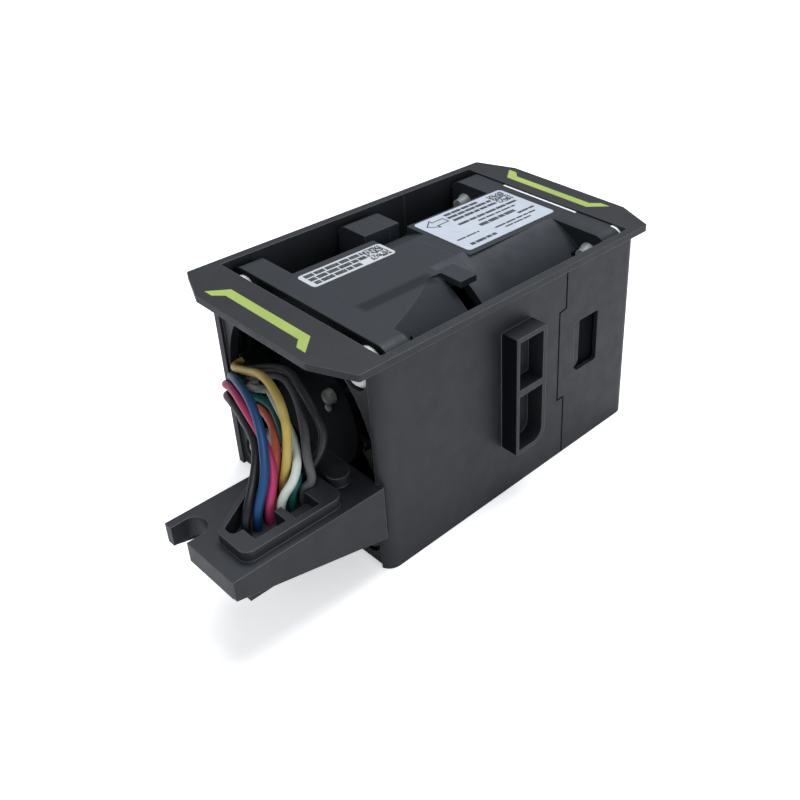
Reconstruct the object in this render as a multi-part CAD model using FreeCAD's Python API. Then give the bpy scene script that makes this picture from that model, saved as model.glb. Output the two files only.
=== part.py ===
import FreeCAD, Part
import math
import os

# Hot-swap server fan module: two 40 mm axial fans, one behind the other, in a two-piece plastic sleeve.
# Millimetres, +Z up. Air leaves at the front (-Y), where the cable tongue and its connector stand out.
# "front plane" is the flat front of the sleeve; lengths named *_y are measured back from it.

Vec = FreeCAD.Vector

# ---- driving dimensions: fan -------------------------------------------------------------------
fan_size = 40.0            # square frame of the fan
fan_half_length = 28.0     # one of the two fans
fan_hole_inset = 4.0       # hole centres from the frame's sides
fan_hole_radius = 1.75
fan_corner_radius = 2.6
end_flange = 4.85          # flange at the open end of each fan
front_ear_length = 5.9     # corner ears of the front fan at the joint
rear_ear_length = 2.1      # corner ears of the rear fan at the joint
ear_size = 8.0
barrel_neck = 5.9          # straight stretch of the barrel at the joint
lead_gap_left = 8.2        # opening for the leads in the front fan's upper right corner
lead_gap_floor = 4.0       # above the fan's axis
lead_gap_length = 3.4
lead_tab_left = 6.8        # thin tab over the opening
lead_tab_right = 12.4
lead_tab_thickness = 1.2
lead_tab_short = 2.2       # tab's end ahead of the joint
duct_wall = 1.4            # thinnest wall of the duct, at the middle of each side
barrel_wall_flange = 2.55  # barrel's outer radius beyond the duct's, beside the flange
barrel_wall_joint = 2.0
shoulder_wall = 7.4        # front fan's barrel swells to this at its upper right
pad_left = 9.7             # flat label pad on top of each barrel
pad_right = 6.6
front_pad_right = 7.6
pad_height = 3.4
pad_start = 1.0            # pad begins inside the flange

# ---- driving dimensions: sleeve ----------------------------------------------------------------
wall = 0.95
fan_side_gap = 0.45
fan_floor_gap = 0.2
fan_top_drop = 0.4
sleeve_corner_radius = 2.4
sharp_corner_radius = 0.5  # front left corner of the sleeve
well_corner_radius = 0.4
rim_overhang = 0.7
rim_thickness = 1.2
front_band_reach = 6.2     # band beyond the front plane
rear_band_reach = 5.4
band_tip_back = 3.3        # how far each side tip lies behind the band's edge
band_chamfer_x = 8.0
band_tip_round = 0.6
band_bend_round = 0.8
front_plate_recess = 0.6
recess_inset = 0.8         # wall edges left beside the recessed front plate
front_plate = 1.8
front_collar = 1.75        # rubber between the front plate and the fan
rear_plate = 1.85
rear_collar = 0.6
mouth_inset = 0.5          # round air mouths in both end plates are this much smaller than the frame
seam_y = 42.9
seam_step = 1.7
seam_top = 31.8
seam_slant = 0.35
seam_bottom = 12.9
seam_gap = 0.12

window_y = 45.6
window_length = 6.6
window_bottom = 16.9
window_height = 10.7
window_low_round = 1.6      # window's lower front corner, and the snap's lower rear corner
window_rear_round = 0.5
window_top_round = 0.3
snap_arm = 0.4
snap_reach = 1.9           # part of the window filled by the snap
snap_start = 3.0           # root of the arm ahead of the seam
snap_low_gap = 0.5         # snap's lower edge above the window's
snap_top_gap = 0.3
snap_lug_gap = 0.12        # lug behind the window's front edge
snap_lug_round = 0.6
snap_lug_sunk = 0.35       # lug's face inside the wall's face
snap_pocket_gap = 0.06
snap_pocket_end = 0.5      # pocket's end behind the window's front edge

guide_y = 26.5
guide_length = 7.5
guide_bottom = 10.2
guide_height = 23.75
guide_reach = 3.4
guide_wall = 0.85
guide_bar = 1.3
guide_bar_centre = 23.0
guide_round = 3.0
guide_front_round = 0.8
guide_top_round = 0.3
guide_inner_round = 0.4
guide_bar_round = 0.2

# ---- driving dimensions: tongue and connector --------------------------------------------------
tongue_reach = 26.4
tongue_left = 4.0
tongue_top = 17.8
tongue_plate = 2.4
tongue_front_height = 3.5
tongue_root_height = 10.3
tongue_overlap = 0.3       # tongue let into the sleeve's front wall
skirt = 1.4
hook_width = 4.4
hook_depth = 4.4
hook_prong = 1.5
hook_round_share = 0.45    # of the hook's width
shroud_raise = 1.8
shroud_front_y = -23.2
shroud_rear_y = -6.0
shroud_right = 19.9
shroud_left_front = 13.1
shroud_left_rear = 4.8
shroud_slant_run = 12.8    # length along Y of the slanting left side
shroud_wall = 0.8
shroud_left_round = 0.9
shroud_right_round = 1.6
shroud_slant_round = 0.6
slot_round = 1.0           # lead opening's corners: front right, rear right, rear left, slant
slot_rear_round = 0.8
slot_left_round = 0.6
slot_slant_round = 0.5
slot_slant_shift = 0.5     # lead opening's slant starts behind the shroud's
tongue_nose_round = 0.4
tongue_corner_round = 0.5
slot_right = 15.2
slot_front_wall = 1.1
slot_rear_wall = 1.4
post_radius = 1.9
post_x = 14.8
post_y = -3.3
pocket_overlap = 0.5       # shallow pockets beside the leads run into their opening
first_pocket_right = 18.2
first_pocket_front_y = -20.35
first_pocket_rear_y = -15.1
first_pocket_depth = 1.2   # below the tongue's top
second_pocket_right = 18.8
second_pocket_front_y = -13.9
second_pocket_rear_y = -9.6
second_pocket_depth = 0.4

contact_pitch = 2.0
contact_rows = 6
contact_columns = (11.3, 13.3)
contact_first_y = -19.0
contact_size = 0.64
contact_recess = 0.8       # contact tips lie this far inside the mating face
cavity_size = 1.3
cavity_depth = 5.0
contact_depth = 7.0        # upper end of each contact above the mating face
housing_side = 1.8         # plastic beyond the outer columns
housing_end = 1.4          # plastic beyond the end rows
housing_top = 16.2
housing_bottom = 7.2
housing_gap = 0.35
housing_flange = 0.8
socket_wall = 1.0

# ---- driving dimensions: rotor and motor -------------------------------------------------------
hub_radius = 10.4
hub_wall = 0.9
blade_tip_gap = 0.6
blade_overrun = 1.0        # blades are drawn past their tip circle and trimmed to it
blade_chord_root = 17.0
blade_chord_tip = 19.0
blade_pitch_root = 36.0    # degrees from the axis
blade_pitch_tip = 52.0
blade_camber_root = 1.5
blade_camber_tip = 1.1
blade_thickness_root = 1.5
blade_thickness_tip = 1.0
base_disc = 1.6
base_radius = 10.6
rotor_start = 4.1          # from the base's outer face to the rotor's open edge
rotor_length = 18.9
rotor_end_wall = 1.2
hub_nose = 1.2
fit_gap = 0.02             # between pieces pressed or glued together
yoke_wall = 0.8
yoke_start = 0.2           # yoke's open edge behind the hub's open edge
yoke_length = 12.7
magnet_wall = 0.95
magnet_start = 0.6         # magnet's edge behind the hub's open edge
magnet_length = 10.2
air_gap = 0.4
shaft_radius = 1.5
bearing_radius = 3.0
bearing_ring = 0.65        # radial thickness of each bearing ring
bearing_gap = 0.2          # between the two rings
bearing_width = 2.5
bearing_seat_gap = 0.01
tube_wall = 0.9
tube_end = 14.7            # end of the bearing tube, from the base's outer face
bore_start = 1.95
shaft_clearance = 0.35     # between the shaft's end and the bottom of its bore
clip_start = 2.9           # retaining clip, from the base's outer face
clip_thickness = 0.4
clip_radius = 2.35
clip_mouth = 1.8           # opening of the clip
spring_height = 0.55       # bowed washer between the bearing and the boss
spring_thickness = 0.2
spring_radius = 2.2
boss_radius = 2.8
board_thickness = 0.9
board_radius = 9.6
board_hole = 4.4
chip_height = 0.9
chip_half_width = 1.4      # along the radius
chip_half_length = 1.7
chip_angles = (20, 150, 260)
stator_start = 5.5         # from the base's outer face
stator_length = 8.5
stator_ring = 1.0
stator_teeth = 6
tooth_width = 1.3
tooth_root = 0.5           # slots between the shoes start this far outside the ring
shoe_thickness = 0.8
shoe_slot = 0.9            # opening between neighbouring shoes
coil_end = 0.8             # winding beyond each end of the core
coil_half_width = 1.75
coil_clearance = 0.06
front_blades = 7
rear_blades = 5
front_vanes = 8
rear_vanes = 6
vane_thickness = 0.9
vane_chord = 3.4
vane_gap = 0.4             # between the vanes and the rotor
vane_angle = 68.0
vane_start = 11.0          # angle of the first vane
vane_root = 0.5            # vane ends let into the base and the duct wall

# ---- driving dimensions: rubber pins, labels, leads --------------------------------------------
pin_head_radius = 2.55
pin_head_gap = 0.25        # between the head and its recess
pin_head_sunk = 0.25       # head's face below the end plate's face
pin_recess = 1.2
pin_collar_radius = 3.2
pin_neck_radius = 1.5
pin_bulb_radius = 1.95
pin_tail_radius = 1.25
pin_tail = 2.2
pin_plate_gap = 0.3
pin_clearance = 0.3        # room round the bulb behind the flange
pin_bulb_length = 1.5
pin_bevel = 0.5
gasket_thickness = 0.5
gasket_gap = 0.05
gasket_inset = 1.1         # edge of the round opening from the frame's sides
gasket_pin_gap = 0.1
label_thickness = 0.12
label_corner = 0.8
serial_left = 8.0
serial_right = -3.1
serial_front_y = 8.5
serial_rear_y = 26.1
rating_left = 9.1
rating_right = 5.5
rating_front_y = 35.1
rating_rear_y = 58.0
stripe_depth = 0.5
stripe_width = 1.75
stripe_proud = 0.05
stripe_bar_inset = 4.95    # outer edge of the long bar behind the band's edge
stripe_leg_inset = 1.7
stripe_left_foot = (-14.2, -12.2)    # X of the left leg's outer and inner edge at the band's edge
stripe_left_bend = (-11.7, -10.6)    # and where the leg meets the long bar
stripe_right_bend = (8.9, 8.3)
stripe_right_foot = (12.0, 9.9)

lead_diameter = 1.4
lead_pitch = 1.8
lead_straight = 2.6        # each lead leaves the exit and enters the connector straight
lead_exit_inset = 2.0      # first column of leads from the frame's left side
lead_exit_first_z = 17.1
lead_exit_y = 2.2          # front face of the lead exit inside the mouth
lead_exit_depth = 3.4
lead_exit_margin = 0.95    # plastic round the outermost leads' centres
lead_exit_columns = 3
lead_exit_rows = 4
lead_arc_share = 0.45      # part of the shorter run taken by each arc

# ---- derived -----------------------------------------------------------------------------------
sleeve_half = fan_size / 2 + fan_side_gap + wall
inner_half = sleeve_half - wall
height = fan_floor_gap + fan_size + fan_top_drop
axis_z = fan_floor_gap + fan_size / 2
fan_top = fan_floor_gap + fan_size
rim_half = sleeve_half + rim_overhang
fan_front_y = front_plate_recess + front_plate + front_collar
joint_y = fan_front_y + fan_half_length
fan_rear_y = joint_y + fan_half_length
rear_plate_y = fan_rear_y + rear_collar
sleeve_length = rear_plate_y + rear_plate
pin_offset = fan_size / 2 - fan_hole_inset
duct_radius = fan_size / 2 - duct_wall
mouth_radius = fan_size / 2 - mouth_inset
gasket_opening = fan_size / 2 - gasket_inset
lead_exit_first_x = lead_exit_inset - fan_size / 2
band_front_y = -front_band_reach
band_rear_y = sleeve_length + rear_band_reach
# The origin lies at the bottom centre of the whole module.
origin_y = (band_rear_y - tongue_reach) / 2

tube_outer = bearing_radius + bearing_seat_gap + tube_wall
yoke_outer = hub_radius - hub_wall - fit_gap
magnet_outer = yoke_outer - yoke_wall - fit_gap
magnet_inner = magnet_outer - magnet_wall
stator_outer = magnet_inner - air_gap
stator_inner = tube_outer + fit_gap
inner_ring_radius = bearing_radius - bearing_ring - bearing_gap
housing_left = contact_columns[0] - housing_side
housing_right = contact_columns[1] + housing_side
housing_front_y = contact_first_y - housing_end
housing_rear_y = contact_first_y + (contact_rows - 1) * contact_pitch + housing_end


# ---- helpers -----------------------------------------------------------------------------------
def box(x0, x1, y0, y1, z0, z1):
    return Part.makeBox(x1 - x0, y1 - y0, z1 - z0, Vec(x0, y0, z0))


def along_y(radius, y0, y1, x=0.0, z=0.0):
    return Part.makeCylinder(radius, y1 - y0, Vec(x, y0, z), Vec(0, 1, 0))


def ring_y(outer, inner, y0, y1, x=0.0, z=0.0):
    return along_y(outer, y0, y1, x, z).cut(along_y(inner, y0 - 1, y1 + 1, x, z))


def cone_y(r0, r1, y0, y1, x=0.0, z=0.0):
    return Part.makeCone(r0, r1, y1 - y0, Vec(x, y0, z), Vec(0, 1, 0))


def rounded_wire(corners, place):
    """Closed wire through (u, v, radius) corners; place turns (u, v) into a point."""
    count = len(corners)
    joints = []
    for i in range(count):
        u, v, radius = corners[i]
        here = Vec(u, v, 0)
        before = Vec(corners[i - 1][0], corners[i - 1][1], 0)
        after = Vec(corners[(i + 1) % count][0], corners[(i + 1) % count][1], 0)
        if radius <= 0:
            joints.append((here, None, here))
            continue
        to_before = (before - here).normalize()
        to_after = (after - here).normalize()
        half = to_before.getAngle(to_after) / 2
        reach = radius / math.tan(half)
        bisector = (to_before + to_after).normalize()
        middle = here + bisector * (radius / math.sin(half) - radius)
        joints.append((here + to_before * reach, middle, here + to_after * reach))
    edges = []
    for i in range(count):
        start, middle, end = joints[i]
        following = joints[(i + 1) % count][0]
        if middle is not None:
            edges.append(Part.Arc(place(start), place(middle), place(end)).toShape())
        if end.distanceToPoint(following) > 1e-6:
            edges.append(Part.LineSegment(place(end), place(following)).toShape())
    return Part.Wire(edges)


def plan_prism(corners, z0, z1):
    wire = rounded_wire(corners, lambda p: Vec(p.x, p.y, z0))
    return Part.Face(wire).extrude(Vec(0, 0, z1 - z0))


def side_prism(corners, x0, x1):
    wire = rounded_wire(corners, lambda p: Vec(x0, p.x, p.y))
    return Part.Face(wire).extrude(Vec(x1 - x0, 0, 0))


def front_prism(corners, y0, y1):
    wire = rounded_wire(corners, lambda p: Vec(p.x, y0, p.y))
    return Part.Face(wire).extrude(Vec(0, y1 - y0, 0))


def fuse_all(shapes):
    return shapes[0].multiFuse(shapes[1:]).removeSplitter()


def cut_all(shape, tools):
    for tool in tools:
        shape = shape.cut(tool)
    return shape


def turned(shape, angle):
    """Copy turned about the fan's axis."""
    copy = shape.copy()
    copy.rotate(Vec(0, 0, axis_z), Vec(0, 1, 0), angle)
    return copy


def mirrored_fan(shape):
    """Copy mirrored in the plane where the two fans meet."""
    return shape.mirror(Vec(0, joint_y, 0), Vec(0, 1, 0))


def mirrored_side(shape):
    return shape.mirror(Vec(0, 0, 0), Vec(1, 0, 0))


def revolved(profile, x, z):
    """Solid turned about an axis along Y through (x, z); profile is (distance along Y, radius, rounding)."""
    wire = rounded_wire(profile, lambda p: Vec(x + p.y, p.x, z))
    return Part.Face(wire).revolve(Vec(x, 0, z), Vec(0, 1, 0), 360)


def pin_places():
    return [(sx * pin_offset, axis_z + sz * pin_offset) for sx in (-1, 1) for sz in (-1, 1)]


# ---- sleeve ------------------------------------------------------------------------------------
def band_outline(inset=0.0):
    half = rim_half - inset
    tip = band_tip_back - inset * 0.5
    return [
        (-half, band_front_y + tip, band_tip_round),
        (-half + band_chamfer_x, band_front_y + inset, band_bend_round),
        (half - band_chamfer_x, band_front_y + inset, band_bend_round),
        (half, band_front_y + tip, band_tip_round),
        (half, band_rear_y - tip, band_tip_round),
        (half - band_chamfer_x, band_rear_y - inset, band_bend_round),
        (-half + band_chamfer_x, band_rear_y - inset, band_bend_round),
        (-half, band_rear_y - tip, band_tip_round),
    ]


def sleeve_outline(half, y0, y1, radius, left_radius):
    return [(-half, y0, left_radius), (half, y0, radius), (half, y1, radius), (-half, y1, radius)]


def stripe_outline(edge_y, inward):
    """Bracket-shaped inlay: a long bar with two legs slanting to the band's edge."""
    bar_y = edge_y + inward * stripe_bar_inset
    inner_y = bar_y - inward * stripe_width
    leg_y = edge_y + inward * stripe_leg_inset
    return [
        (stripe_left_foot[0], leg_y, 0), (stripe_left_bend[0], bar_y, 0),
        (stripe_right_bend[0], bar_y, 0), (stripe_right_foot[0], leg_y, 0),
        (stripe_right_foot[1], leg_y, 0), (stripe_right_bend[1], inner_y, 0),
        (stripe_left_bend[1], inner_y, 0), (stripe_left_foot[1], leg_y, 0),
    ]


def make_stripe(edge_y, inward):
    return plan_prism(stripe_outline(edge_y, inward), height - stripe_depth, height + stripe_proud)


def end_plate_cuts(y0, y1, recess_y0, recess_y1):
    """Air mouth, and a recessed hole for each rubber pin."""
    cuts = [along_y(mouth_radius, y0 - 1, y1 + 1, 0, axis_z)]
    for x, z in pin_places():
        cuts.append(along_y(pin_neck_radius + pin_plate_gap, y0 - 1, y1 + 1, x, z))
        cuts.append(along_y(pin_head_radius + pin_head_gap, recess_y0, recess_y1, x, z))
    return cuts


def make_guide():
    """Open rectangular frame with a cross bar that stands off the right wall."""
    x0 = sleeve_half - wall / 2
    x1 = sleeve_half + guide_reach
    y1 = guide_y + guide_length
    top = guide_bottom + guide_height
    outer = side_prism([(guide_y, guide_bottom, guide_front_round), (y1, guide_bottom, guide_round),
                        (y1, top, guide_top_round), (guide_y, top, guide_top_round)], x0, x1)
    low = guide_bottom + guide_wall
    front = guide_y + guide_wall
    rear = y1 - guide_wall
    bar_low = guide_bar_centre - guide_bar / 2
    bar_top = guide_bar_centre + guide_bar / 2
    inner_low = side_prism([(front, low, guide_inner_round), (rear, low, guide_round - guide_wall),
                            (rear, bar_low, guide_bar_round), (front, bar_low, guide_bar_round)],
                           sleeve_half, x1 + 1)
    inner_high = side_prism([(front, bar_top, guide_bar_round), (rear, bar_top, guide_bar_round),
                             (rear, top - guide_wall, guide_bar_round),
                             (front, top - guide_wall, guide_bar_round)], sleeve_half, x1 + 1)
    return outer.cut(inner_low).cut(inner_high)


def make_window():
    top = window_bottom + window_height
    rear = window_y + window_length
    return side_prism([(window_y, window_bottom, window_low_round),
                       (rear, window_bottom, window_rear_round), (rear, top, window_top_round),
                       (window_y, top, window_top_round)], inner_half - 1, sleeve_half + 1)


def make_snap():
    """Arm of the front shell that reaches behind the rear shell's wall and catches in its window."""
    x0 = inner_half
    low = window_bottom + snap_low_gap
    top = window_bottom + window_height - snap_top_gap
    root = seam_y - snap_start
    lug_front = window_y + snap_lug_gap
    end = window_y + snap_reach
    arm = side_prism([(root, low, 0), (end, low, window_low_round), (end, top, window_top_round),
                      (root, top, 0)], x0, x0 + snap_arm)
    lug = side_prism([(lug_front, low, snap_lug_round), (end, low, window_low_round),
                      (end, top, window_top_round), (lug_front, top, window_top_round)],
                     x0, sleeve_half - snap_lug_sunk)
    return arm.fuse(lug)


def snap_pocket():
    return box(inner_half - 1, inner_half + snap_arm + snap_pocket_gap, seam_y - seam_step - 1,
               window_y + snap_pocket_end, window_bottom, window_bottom + window_height)


def seam_region(shift):
    """Everything ahead of the stepped seam between the two shells."""
    far = 60
    y = seam_y + shift
    back = seam_y - seam_step + shift
    return side_prism([(-far, -5, 0), (y, -5, 0), (y, seam_bottom, 0), (back, seam_bottom, 0),
                       (back, seam_top - seam_slant, 0), (y, seam_top, 0), (y, height + 5, 0),
                       (-far, height + 5, 0)], -far, far)


def make_casing():
    outer = plan_prism(sleeve_outline(sleeve_half, 0, sleeve_length, sleeve_corner_radius,
                                     sharp_corner_radius), 0, height)
    rim = plan_prism(band_outline(), height - rim_thickness, height)
    body = outer.fuse(rim)
    fan_well = plan_prism(sleeve_outline(inner_half, front_plate_recess + front_plate, rear_plate_y,
                                         well_corner_radius, well_corner_radius), -1, height + 1)
    front_recess = box(-inner_half + recess_inset, inner_half - recess_inset, -5, front_plate_recess,
                       -1, height - rim_thickness)
    cuts = [fan_well, front_recess]
    cuts += end_plate_cuts(0, front_plate_recess + front_plate, -1, front_plate_recess + pin_recess)
    cuts += end_plate_cuts(rear_plate_y, sleeve_length, sleeve_length - pin_recess, sleeve_length + 1)
    return cut_all(body, cuts)


def make_front_shell(casing):
    shell = casing.common(seam_region(0))
    right = make_guide()
    snap = make_snap()
    pieces = [shell, right, mirrored_side(right), snap, mirrored_side(snap), make_tongue()]
    shell = fuse_all(pieces)
    pocket = make_stripe(band_front_y, 1)
    return cut_all(shell, [pocket] + tongue_cuts())


def make_rear_shell(casing):
    shell = casing.cut(seam_region(seam_gap))
    window = make_window()
    pocket = snap_pocket()
    cuts = [window, mirrored_side(window), pocket, mirrored_side(pocket), make_stripe(band_rear_y, -1)]
    return cut_all(shell, cuts)


# ---- tongue ------------------------------------------------------------------------------------
def skirt_outline():
    """Side view of the tongue: thin at its front end, deep where it meets the sleeve."""
    return [(tongue_overlap, tongue_top - tongue_root_height, 0), (tongue_overlap, tongue_top, 0),
            (-tongue_reach, tongue_top, 0),
            (-tongue_reach, tongue_top - tongue_front_height, tongue_nose_round)]


def shroud_outline():
    """Plan of the raised shroud; its left side runs slantwise to the tongue's left edge."""
    return [(shroud_left_front, shroud_front_y, shroud_left_round),
            (shroud_right, shroud_front_y, shroud_right_round),
            (shroud_right, shroud_rear_y, shroud_right_round),
            (shroud_left_rear, shroud_rear_y, shroud_slant_round),
            (shroud_left_rear, shroud_front_y + shroud_slant_run, shroud_slant_round)]


def lead_window_outline():
    """Opening in the shroud through which the leads reach the connector."""
    front = shroud_front_y + slot_front_wall
    rear = shroud_rear_y - slot_rear_wall
    left_rear = shroud_left_rear + shroud_wall
    slant = shroud_front_y + shroud_slant_run + slot_slant_shift
    return [(shroud_left_front, front, shroud_left_round), (slot_right, front, slot_round),
            (slot_right, rear, slot_rear_round), (left_rear, rear, slot_left_round),
            (left_rear, slant, slot_slant_round)]


def make_tongue():
    plate_low = tongue_top - tongue_plate
    plate = plan_prism([(tongue_left, tongue_overlap, 0), (sleeve_half, tongue_overlap, 0),
                        (sleeve_half, -tongue_reach, tongue_corner_round),
                        (tongue_left, -tongue_reach, tongue_corner_round)], plate_low, tongue_top)
    right_skirt = side_prism(skirt_outline(), sleeve_half - skirt, sleeve_half)
    left_skirt = side_prism(skirt_outline(), tongue_left, tongue_left + skirt)
    front_lip = box(tongue_left, sleeve_half - skirt / 2, -tongue_reach, -tongue_reach + hook_depth + skirt,
                    tongue_top - tongue_front_height, tongue_top)
    shroud = plan_prism(shroud_outline(), plate_low, tongue_top + shroud_raise)
    reach = housing_gap + socket_wall
    socket = box(housing_left - reach, housing_right + reach, housing_front_y - reach,
                 housing_rear_y + reach, housing_bottom + housing_flange, tongue_top)
    post = Part.makeCylinder(post_radius, shroud_raise + 1, Vec(post_x, post_y, tongue_top - 1))
    return fuse_all([plate, right_skirt, left_skirt, front_lip, shroud, socket, post])


def tongue_cuts():
    hook_left = tongue_left + hook_prong
    hook_end = -tongue_reach + hook_depth
    hook = plan_prism([(hook_left, -tongue_reach - 5, 0), (hook_left + hook_width, -tongue_reach - 5, 0),
                       (hook_left + hook_width, hook_end, hook_width * hook_round_share),
                       (hook_left, hook_end, hook_width * hook_round_share)], 0, height)
    window = plan_prism(lead_window_outline(), housing_top, height)
    well = box(housing_left - housing_gap, housing_right + housing_gap, housing_front_y - housing_gap,
               housing_rear_y + housing_gap, -1, housing_top)
    inside = slot_right - pocket_overlap
    first_pocket = box(inside, first_pocket_right, first_pocket_front_y, first_pocket_rear_y,
                       tongue_top - first_pocket_depth, height)
    second_pocket = box(inside, second_pocket_right, second_pocket_front_y, second_pocket_rear_y,
                        tongue_top - second_pocket_depth, height)
    return [hook, window, well, first_pocket, second_pocket]


# ---- connector ---------------------------------------------------------------------------------
def contact_places():
    rows = [contact_first_y + row * contact_pitch for row in range(contact_rows)]
    return [(x, y) for x in contact_columns for y in rows]


def centred_box(x, y, size, z0, z1):
    return box(x - size / 2, x + size / 2, y - size / 2, y + size / 2, z0, z1)


def make_housing():
    """Housing with one cavity for each contact and a flange that seats against the socket's edge."""
    reach = housing_gap + socket_wall
    body = box(housing_left, housing_right, housing_front_y, housing_rear_y, housing_bottom, housing_top)
    flange = box(housing_left - reach, housing_right + reach, housing_front_y - reach,
                 housing_rear_y + reach, housing_bottom, housing_bottom + housing_flange)
    cuts = []
    for x, y in contact_places():
        cuts.append(centred_box(x, y, cavity_size, housing_bottom - 1, housing_bottom + cavity_depth))
        cuts.append(centred_box(x, y, contact_size, housing_bottom, housing_bottom + contact_depth))
    return cut_all(body.fuse(flange), cuts)


def make_contacts():
    low = housing_bottom + contact_recess
    top = housing_bottom + contact_depth
    return Part.makeCompound([centred_box(x, y, contact_size, low, top) for x, y in contact_places()])


# ---- fan frames (built for the front fan, mirrored for the rear one) ------------------------------
def fan_square(y0, y1):
    half = fan_size / 2
    return front_prism([(-half, axis_z - half, fan_corner_radius), (half, axis_z - half, fan_corner_radius),
                        (half, axis_z + half, fan_corner_radius), (-half, axis_z + half, fan_corner_radius)],
                       y0, y1)


ear_corners = [(-1, 1), (-1, -1), (1, -1)]


def corner_ear(side, level, y0, y1):
    """Ear in one corner of the frame at the joint."""
    half = fan_size / 2
    x = side * half
    z = axis_z + level * half
    corner = box(min(x, x - side * ear_size), max(x, x - side * ear_size), y0, y1,
                 min(z, z - level * ear_size), max(z, z - level * ear_size))
    return fan_square(y0, y1).common(corner)


def make_barrel(ear_length, pad_side):
    """Outer form of one fan: end flange, tapered barrel, label pad and corner ears."""
    flange = fan_square(fan_front_y, fan_front_y + end_flange)
    neck_y = joint_y - barrel_neck
    joint_radius = duct_radius + barrel_wall_joint
    taper = cone_y(duct_radius + barrel_wall_flange, joint_radius, fan_front_y + end_flange, neck_y, 0,
                   axis_z)
    neck = along_y(joint_radius, neck_y, joint_y, 0, axis_z)
    square = box(-fan_size / 2, fan_size / 2, fan_front_y, joint_y, fan_floor_gap, fan_top)
    barrel = taper.fuse(neck).common(square)
    pad = box(-pad_left, pad_side, fan_front_y + pad_start, joint_y - ear_length, fan_top - pad_height,
              fan_top)
    ears = [corner_ear(side, level, joint_y - ear_length, joint_y) for side, level in ear_corners]
    body = fuse_all([flange, barrel, pad] + ears)
    cuts = [along_y(duct_radius, fan_front_y - 1, joint_y + 1, 0, axis_z)]
    flange_rear = fan_front_y + end_flange
    for x, z in pin_places():
        cuts.append(along_y(fan_hole_radius, fan_front_y - 1, flange_rear + 1, x, z))
        cuts.append(along_y(pin_bulb_radius + pin_clearance, flange_rear,
                            flange_rear + pin_tail + pin_clearance, x, z))
    return cut_all(body, cuts)


def make_shoulder():
    """Swollen part of the front fan's barrel, from the flange down to the neck at its upper right."""
    start = fan_front_y + end_flange / 2
    neck_y = joint_y - barrel_neck
    swell = cone_y(duct_radius + shoulder_wall, duct_radius + barrel_wall_joint, start, neck_y, 0, axis_z)
    quarter = box(0, fan_size / 2, start, neck_y, axis_z, fan_top)
    pockets = [along_y(duct_radius, start - 1, neck_y + 1, 0, axis_z)]
    flange_rear = fan_front_y + end_flange
    pockets.append(along_y(fan_hole_radius, start - 1, flange_rear + 1, pin_offset, axis_z + pin_offset))
    pockets.append(along_y(pin_bulb_radius + pin_clearance, flange_rear,
                           flange_rear + pin_tail + pin_clearance, pin_offset, axis_z + pin_offset))
    return cut_all(swell.common(quarter), pockets)


def add_motor_seat(barrel, vanes):
    """Motor base held by the vanes, with the bearing tube standing on it."""
    base = along_y(base_radius, fan_front_y, fan_front_y + base_disc, 0, axis_z)
    tube = along_y(tube_outer, fan_front_y + base_disc / 2, fan_front_y + tube_end, 0, axis_z)
    bore = along_y(bearing_radius + bearing_seat_gap, fan_front_y + bore_start, fan_front_y + tube_end + 1,
                   0, axis_z)
    return fuse_all([barrel, base, tube] + make_vanes(vanes)).cut(bore)


def make_vanes(count):
    """Slanted fixed vanes from the motor base to the duct wall."""
    vanes = []
    rear_y = fan_front_y + rotor_start - vane_gap - vane_thickness * math.cos(math.radians(vane_angle))
    for i in range(count):
        blade = box(base_radius - vane_root, duct_radius + vane_root, 0, vane_thickness, 0, vane_chord)
        blade.rotate(Vec(0, 0, 0), Vec(1, 0, 0), vane_angle)
        blade.translate(Vec(0, rear_y, axis_z))
        vanes.append(turned(blade, 360.0 * i / count + vane_start))
    return vanes


def make_front_frame():
    """Front fan's frame, with the open corner for leads, the lead tab beside it and the lead exit."""
    barrel = make_barrel(front_ear_length, front_pad_right).fuse(make_shoulder())
    gap_y = joint_y - front_ear_length
    barrel = barrel.cut(box(lead_gap_left, fan_size / 2 + 1, gap_y, gap_y + lead_gap_length,
                            axis_z + lead_gap_floor, fan_top + 1))
    tab = box(lead_tab_left, lead_tab_right, gap_y, joint_y - lead_tab_short,
              fan_top - lead_tab_thickness, fan_top)
    lead_exit = box(lead_exit_first_x - lead_exit_margin,
                    lead_exit_first_x + (lead_exit_columns - 1) * lead_pitch + lead_exit_margin,
                    lead_exit_y, lead_exit_y + lead_exit_depth,
                    lead_exit_first_z - lead_exit_margin,
                    lead_exit_first_z + (lead_exit_rows - 1) * lead_pitch + lead_exit_margin)
    return add_motor_seat(fuse_all([barrel, tab, lead_exit]), front_vanes)


def make_rear_frame():
    barrel = make_barrel(rear_ear_length, pad_right)
    return mirrored_fan(add_motor_seat(barrel, rear_vanes))


# ---- impellers ---------------------------------------------------------------------------------
def blade_section(radius, middle_y, chord, pitch, camber, thickness):
    """Closed airfoil outline on a flat that stands at one radius from the axis."""
    across = math.radians(pitch)
    along = Vec(0, math.cos(across), math.sin(across)) * (chord / 2)
    normal = Vec(0, -math.sin(across), math.cos(across))
    centre = Vec(radius, middle_y, axis_z)
    upper = centre + normal * (camber + thickness / 2)
    lower = centre + normal * (camber - thickness / 2)
    front = centre - along
    rear = centre + along
    return Part.Wire([Part.Arc(front, upper, rear).toShape(), Part.Arc(rear, lower, front).toShape()])


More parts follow.
